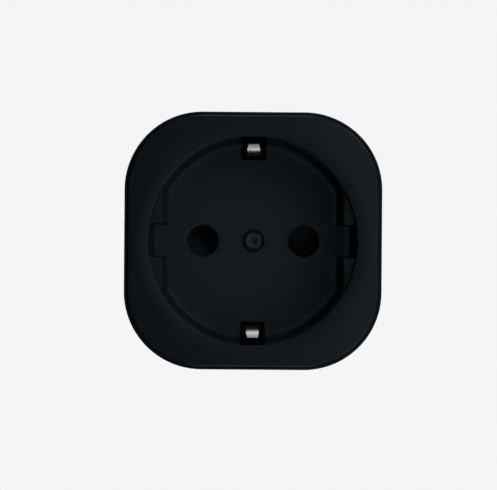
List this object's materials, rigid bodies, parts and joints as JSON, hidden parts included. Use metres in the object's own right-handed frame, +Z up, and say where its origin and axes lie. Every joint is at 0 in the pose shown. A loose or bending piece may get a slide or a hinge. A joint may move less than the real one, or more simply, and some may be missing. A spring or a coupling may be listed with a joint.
{
  "type": "smart plug",
  "caption": "Compact switched and metered plug-in adapter: earthed two-pin socket recess in front, earthed two-pin plug behind, flush power button and safety shutter.",
  "frame": {"origin": "centre of the plug nose's end face, which meets the floor of the wall socket", "axes": "+Y along the plug pins into the wall, +Z up with the earth-pin hole above the pins, +X to the right as seen from the front"},
  "size_m": [0.048, 0.076, 0.048],
  "materials": {
    "housing_plastic": "black moulded polycarbonate, satin, finely textured",
    "cover_plastic": "black moulded polycarbonate, satin, finely textured",
    "blackened_steel": "black oxide, low sheen",
    "shutter_plastic": "black nylon, satin",
    "spring_steel": "drawn wire",
    "carrier_plastic": "black thermoset, matte",
    "contact_brass": "stamped, bright",
    "nickel_plate": "stamped strip, nickel plated",
    "pin_nickel": "turned, nickel plated",
    "circuit_board": "green solder mask",
    "relay_case": "black moulded case",
    "capacitor_sleeve": "shrunk sleeve",
    "ferrite": "ferrite with copper winding",
    "film_capacitor": "yellow box",
    "varistor_coat": "dipped blue epoxy",
    "fuse_case": "black case",
    "chip_case": "moulded epoxy",
    "shunt_alloy": "resistance strip",
    "radio_laminate": "dark blue solder mask",
    "shield_tin": "tinned steel can",
    "copper_trace": "gold-flashed copper",
    "switch_case": "black case",
    "switch_stem": "cream stem",
    "button_plastic": "black, satin",
    "clear_plastic": "frosted clear acrylic",
    "led_package": "white package with amber lens"
  },
  "bodies": {
    "housing": {"rear_housing": "housing_plastic", "front_cover": "cover_plastic", "centre_screw": "blackened_steel", "shutter_spring": "spring_steel", "contact_carrier": "carrier_plastic", "live_contact": "contact_brass", "neutral_contact": "contact_brass", "earth_strip_top": "nickel_plate", "earth_strip_bottom": "nickel_plate", "earth_bridge": "nickel_plate", "earth_pin_sleeve": "nickel_plate", "plug_pin_left": "pin_nickel", "plug_pin_right": "pin_nickel", "live_link": "contact_brass", "neutral_link": "contact_brass", "main_board": "circuit_board", "power_relay": "relay_case", "bulk_capacitor": "capacitor_sleeve", "filter_inductor": "ferrite", "line_capacitor": "film_capacitor", "surge_varistor": "varistor_coat", "line_fuse": "fuse_case", "bridge_rectifier": "chip_case", "power_controller": "chip_case", "metering_chip": "chip_case", "current_shunt": "shunt_alloy", "radio_board": "radio_laminate", "radio_shield": "shield_tin", "antenna_trace": "copper_trace", "side_switch": "switch_case", "light_guide": "clear_plastic", "status_led": "led_package"},
    "shutter": {"shutter": "shutter_plastic"},
    "button": {"power_button": "button_plastic", "switch_plunger": "switch_stem"}
  },
  "joints": [
    {"name": "shutter_turn", "type": "hinge", "parent": "housing", "child": "shutter", "pos_m": [0, -0.0346, 0], "axis": [0, -1, 0], "range_deg": [0, 40], "stiffness_Nm_per_rad": 0.0005, "springref_deg": -20.05},
    {"name": "button_press", "type": "slide", "parent": "housing", "child": "button", "axis": [-1, 0, 0], "range_m": [0, 0.0005], "stiffness_N_per_m": 30, "springref_m": -0.01}
  ]
}
